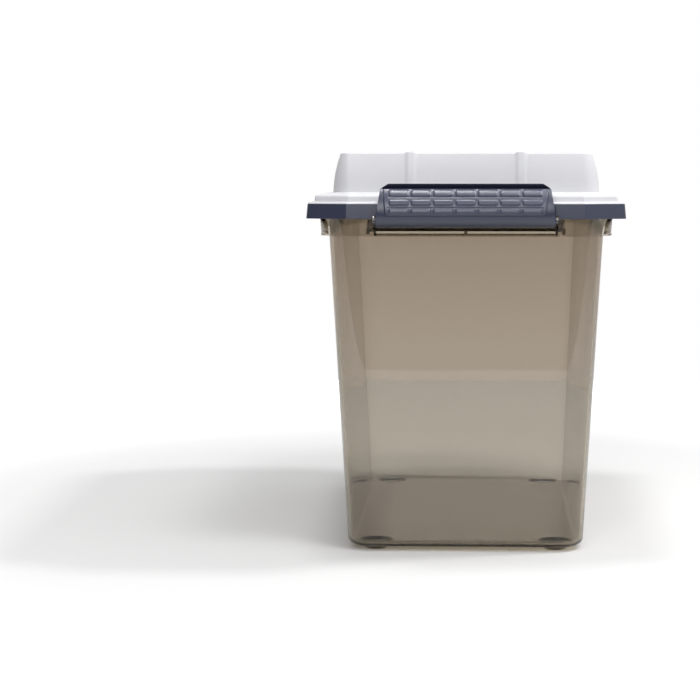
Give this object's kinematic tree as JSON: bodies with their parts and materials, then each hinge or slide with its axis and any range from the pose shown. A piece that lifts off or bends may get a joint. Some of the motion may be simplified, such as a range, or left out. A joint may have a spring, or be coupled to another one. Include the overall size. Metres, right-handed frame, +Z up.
{
  "type": "portable file box",
  "caption": "Tall drafted see-through tub with a raised two-colour lid, a fold-flat carry handle and a snap latch at each narrow end, for hanging folders.",
  "frame": {"origin": "centre of the footprint, on the plane that the four feet stand on", "axes": "+X across the box, +Y along it towards the rear latch, +Z up"},
  "size_m": [0.2402, 0.3956, 0.308],
  "materials": {
    "smoke": "see-through smoke tint, gloss inside and out",
    "navy": "fine satin moulding",
    "white": "fine satin moulding",
    "grip": "soft satin"
  },
  "bodies": {
    "tub": {"tub": "smoke"},
    "lid": {"lid_frame": "navy", "lid_top": "white"},
    "handle": {"carry_handle": "navy"},
    "front_latch": {"latch_front": "navy", "grip_pad_front": "grip"},
    "rear_latch": {"latch_rear": "navy", "grip_pad_rear": "grip"}
  },
  "joints": [
    {"name": "lid_lift", "type": "slide", "parent": "tub", "child": "lid", "axis": [0, 0, 1], "range_m": [0, 0.038]},
    {"name": "latch_front_turn", "type": "hinge", "parent": "tub", "child": "front_latch", "pos_m": [0, -0.18609, 0.2568], "axis": [1, 0, 0], "range_deg": [0, 120]},
    {"name": "latch_rear_turn", "type": "hinge", "parent": "tub", "child": "rear_latch", "pos_m": [0, 0.18609, 0.2568], "axis": [-1, 0, 0], "range_deg": [0, 120]},
    {"name": "handle_turn", "type": "hinge", "parent": "lid", "child": "handle", "pos_m": [-0.0066, 0, 0.3014], "axis": [0, -1, 0], "range_deg": [0, 90]}
  ],
  "couplings": [
    {"joint": "latch_front_turn", "follows": "lid_lift", "rad_per_m": 55},
    {"joint": "latch_rear_turn", "follows": "lid_lift", "rad_per_m": 55}
  ]
}
